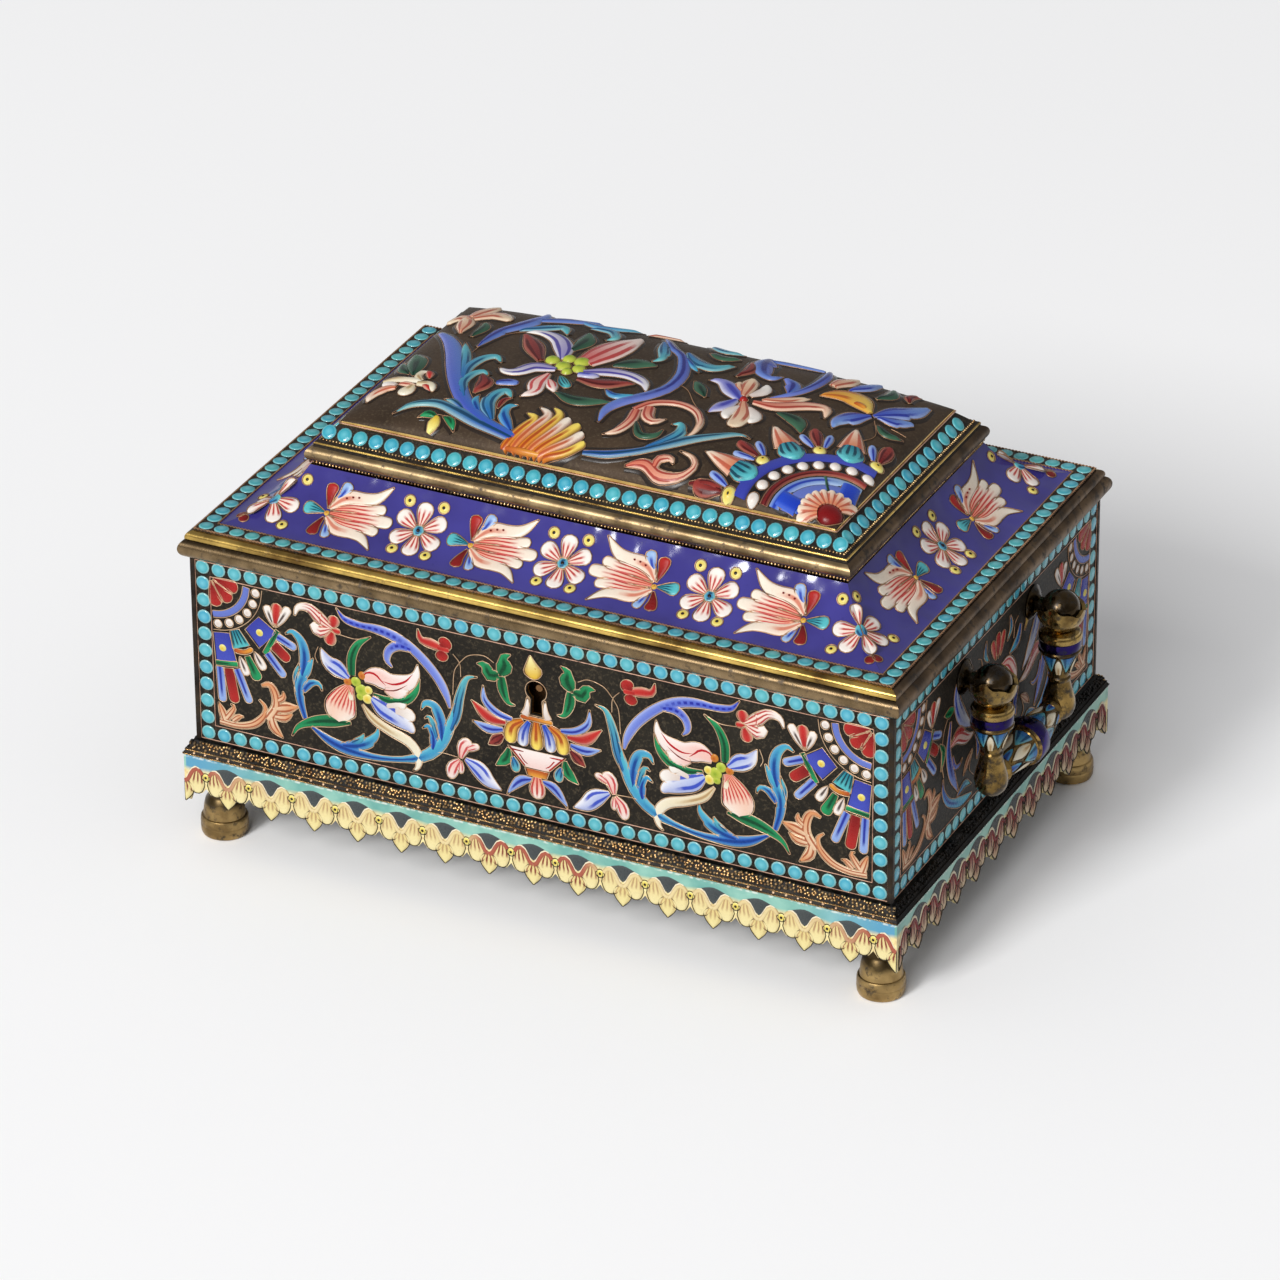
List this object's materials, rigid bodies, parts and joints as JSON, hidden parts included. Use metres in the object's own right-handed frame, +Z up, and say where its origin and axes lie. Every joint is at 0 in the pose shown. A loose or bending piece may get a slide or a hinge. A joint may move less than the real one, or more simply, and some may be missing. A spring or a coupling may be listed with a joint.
{
  "type": "enamelled table casket",
  "caption": "Rectangular enamelled metal table casket on turned feet, with a stepped hinged lid, a lock and a drop handle at each end.",
  "frame": {"origin": "on the table under the middle of the casket", "axes": "+X to the right along the front, +Y to the back, where the hinge is, +Z up"},
  "size_m": [0.1904, 0.1154, 0.1042],
  "materials": {
    "enamel_wall": "matted dark metal ground with glossy cloisonne enamel",
    "lid_panel": "matted olive-brown ground with raised enamel",
    "cobalt_enamel": "glossy fired enamel",
    "apron_enamel": "glossy fired enamel on a pierced edge",
    "dark_metal": "dark patina with twisted wire",
    "antique_gilt": "worn gilding, satin",
    "bright_gilt": "polished gilding with dark hollows",
    "handle_brass": "polished with dark hollows",
    "handle_enamel": "enamelled triangles on turned metal",
    "gilt_lining": "soft satin gilding",
    "lock_steel": "brushed, slightly oiled"
  },
  "bodies": {
    "casket": {"front_wall": "enamel_wall", "back_wall": "enamel_wall", "left_wall": "enamel_wall", "right_wall": "enamel_wall", "apron_front": "apron_enamel", "apron_back": "apron_enamel", "apron_left": "apron_enamel", "apron_right": "apron_enamel", "base_plate": "dark_metal", "plinth_front": "dark_metal", "plinth_back": "dark_metal", "plinth_left": "dark_metal", "plinth_right": "dark_metal", "corner_strip_front_left": "antique_gilt", "corner_strip_front_right": "antique_gilt", "corner_strip_back_left": "antique_gilt", "corner_strip_back_right": "antique_gilt", "foot_front_left": "antique_gilt", "foot_front_right": "antique_gilt", "foot_back_left": "antique_gilt", "foot_back_right": "antique_gilt", "hinge_body_leaf": "bright_gilt", "right_bracket_front": "handle_brass", "right_bracket_back": "handle_brass", "left_bracket_front": "handle_brass", "left_bracket_back": "handle_brass", "floor_lining": "gilt_lining", "lock_case": "lock_steel", "lock_cover": "lock_steel", "key_post": "lock_steel", "hinge_pin": "lock_steel"},
    "lid": {"lid_top": "lid_panel", "lid_cove_front": "cobalt_enamel", "lid_cove_back": "cobalt_enamel", "lid_cove_left": "cobalt_enamel", "lid_cove_right": "cobalt_enamel", "lid_flange_front": "antique_gilt", "lid_flange_back": "antique_gilt", "lid_flange_left": "antique_gilt", "lid_flange_right": "antique_gilt", "lid_step_front": "bright_gilt", "lid_step_back": "bright_gilt", "lid_step_left": "bright_gilt", "lid_step_right": "bright_gilt", "hinge_lid_leaf": "bright_gilt", "lock_staple": "lock_steel"},
    "bolt": {"lock_bolt": "lock_steel"},
    "right_handle": {"right_arm_front": "handle_brass", "right_arm_back": "handle_brass", "right_grip": "handle_enamel", "right_pivot_pin_front": "lock_steel", "right_pivot_pin_back": "lock_steel"},
    "left_handle": {"left_arm_front": "handle_brass", "left_arm_back": "handle_brass", "left_grip": "handle_enamel", "left_pivot_pin_front": "lock_steel", "left_pivot_pin_back": "lock_steel"}
  },
  "joints": [
    {"name": "lid_hinge", "type": "hinge", "parent": "casket", "child": "lid", "pos_m": [0, 0.0563, 0.0681], "axis": [-1, 0, 0], "range_deg": [0, 100]},
    {"name": "right_handle_swing", "type": "hinge", "parent": "casket", "child": "right_handle", "pos_m": [0.09, 0, 0.061], "axis": [0, -1, 0], "range_deg": [0, 110]},
    {"name": "left_handle_swing", "type": "hinge", "parent": "casket", "child": "left_handle", "pos_m": [-0.09, 0, 0.061], "axis": [0, 1, 0], "range_deg": [0, 110]},
    {"name": "lock_bolt_throw", "type": "slide", "parent": "casket", "child": "bolt", "axis": [-1, 0, 0], "range_m": [0, 0.0042]}
  ]
}
